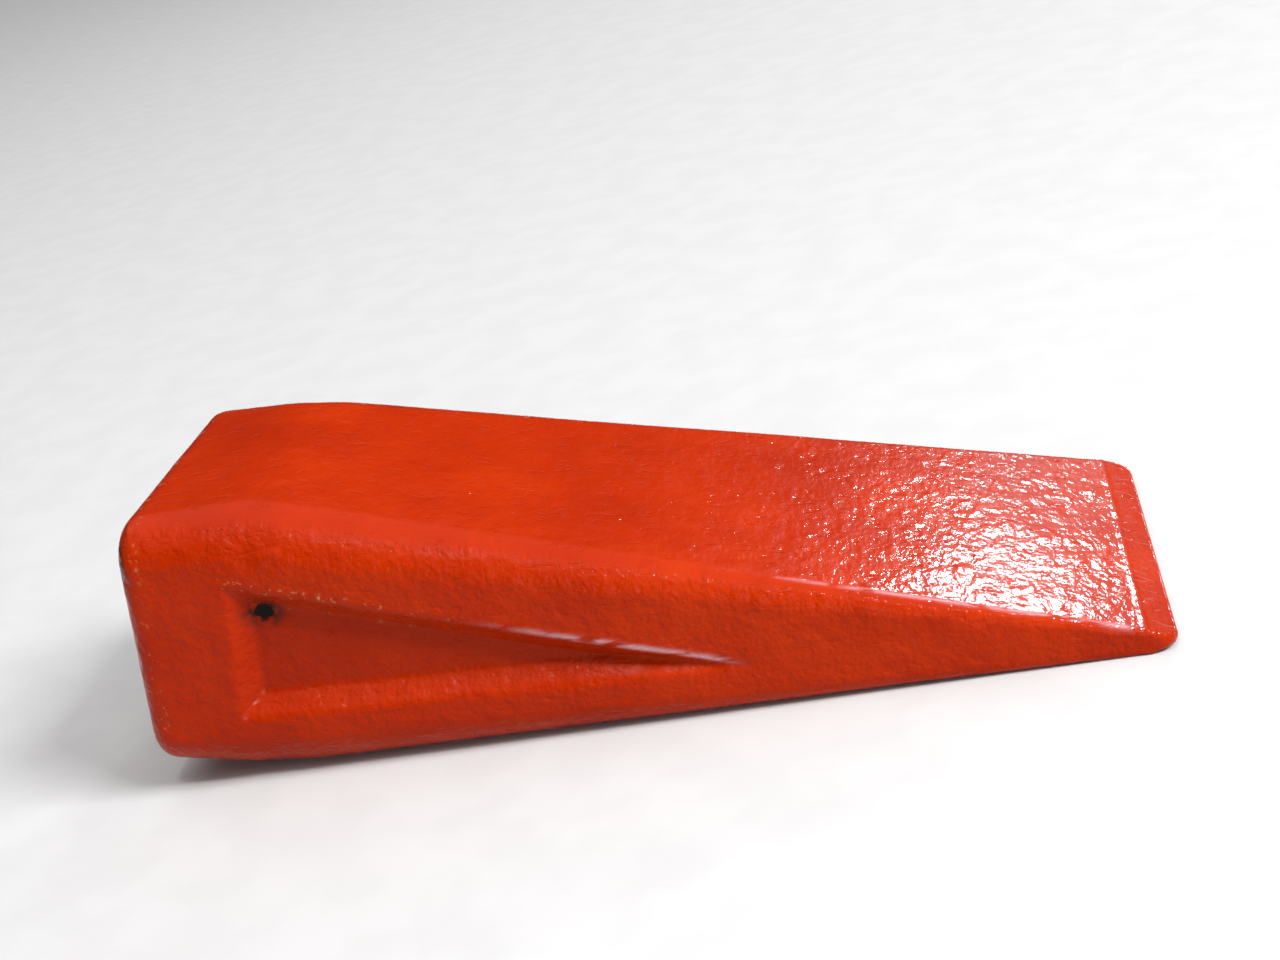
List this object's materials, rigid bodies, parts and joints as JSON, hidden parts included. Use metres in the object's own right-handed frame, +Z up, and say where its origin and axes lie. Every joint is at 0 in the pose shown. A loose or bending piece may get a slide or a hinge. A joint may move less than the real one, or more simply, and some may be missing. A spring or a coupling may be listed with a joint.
{
  "type": "felling wedge",
  "caption": "Forged steel wedge for felling or splitting, with a blunt striking head, a pocket sunk in each side, a ground edge and a thick gloss lacquer coat.",
  "frame": {"origin": "under the middle of the part's box, in the plane that the lower wedge face lies on", "axes": "+X from the striking head towards the cutting edge, +Y across the width, +Z up, away from the surface that the lower wedge face rests on"},
  "size_m": [0.1992, 0.0798, 0.0577],
  "materials": {
    "forged_steel": "dark forging scale, matt",
    "lacquer": "thick dipped gloss lacquer, orange-red, with orange peel"
  },
  "bodies": {
    "root": {"forged_body": "forged_steel", "lacquer_coat": "lacquer"}
  },
  "joints": []
}
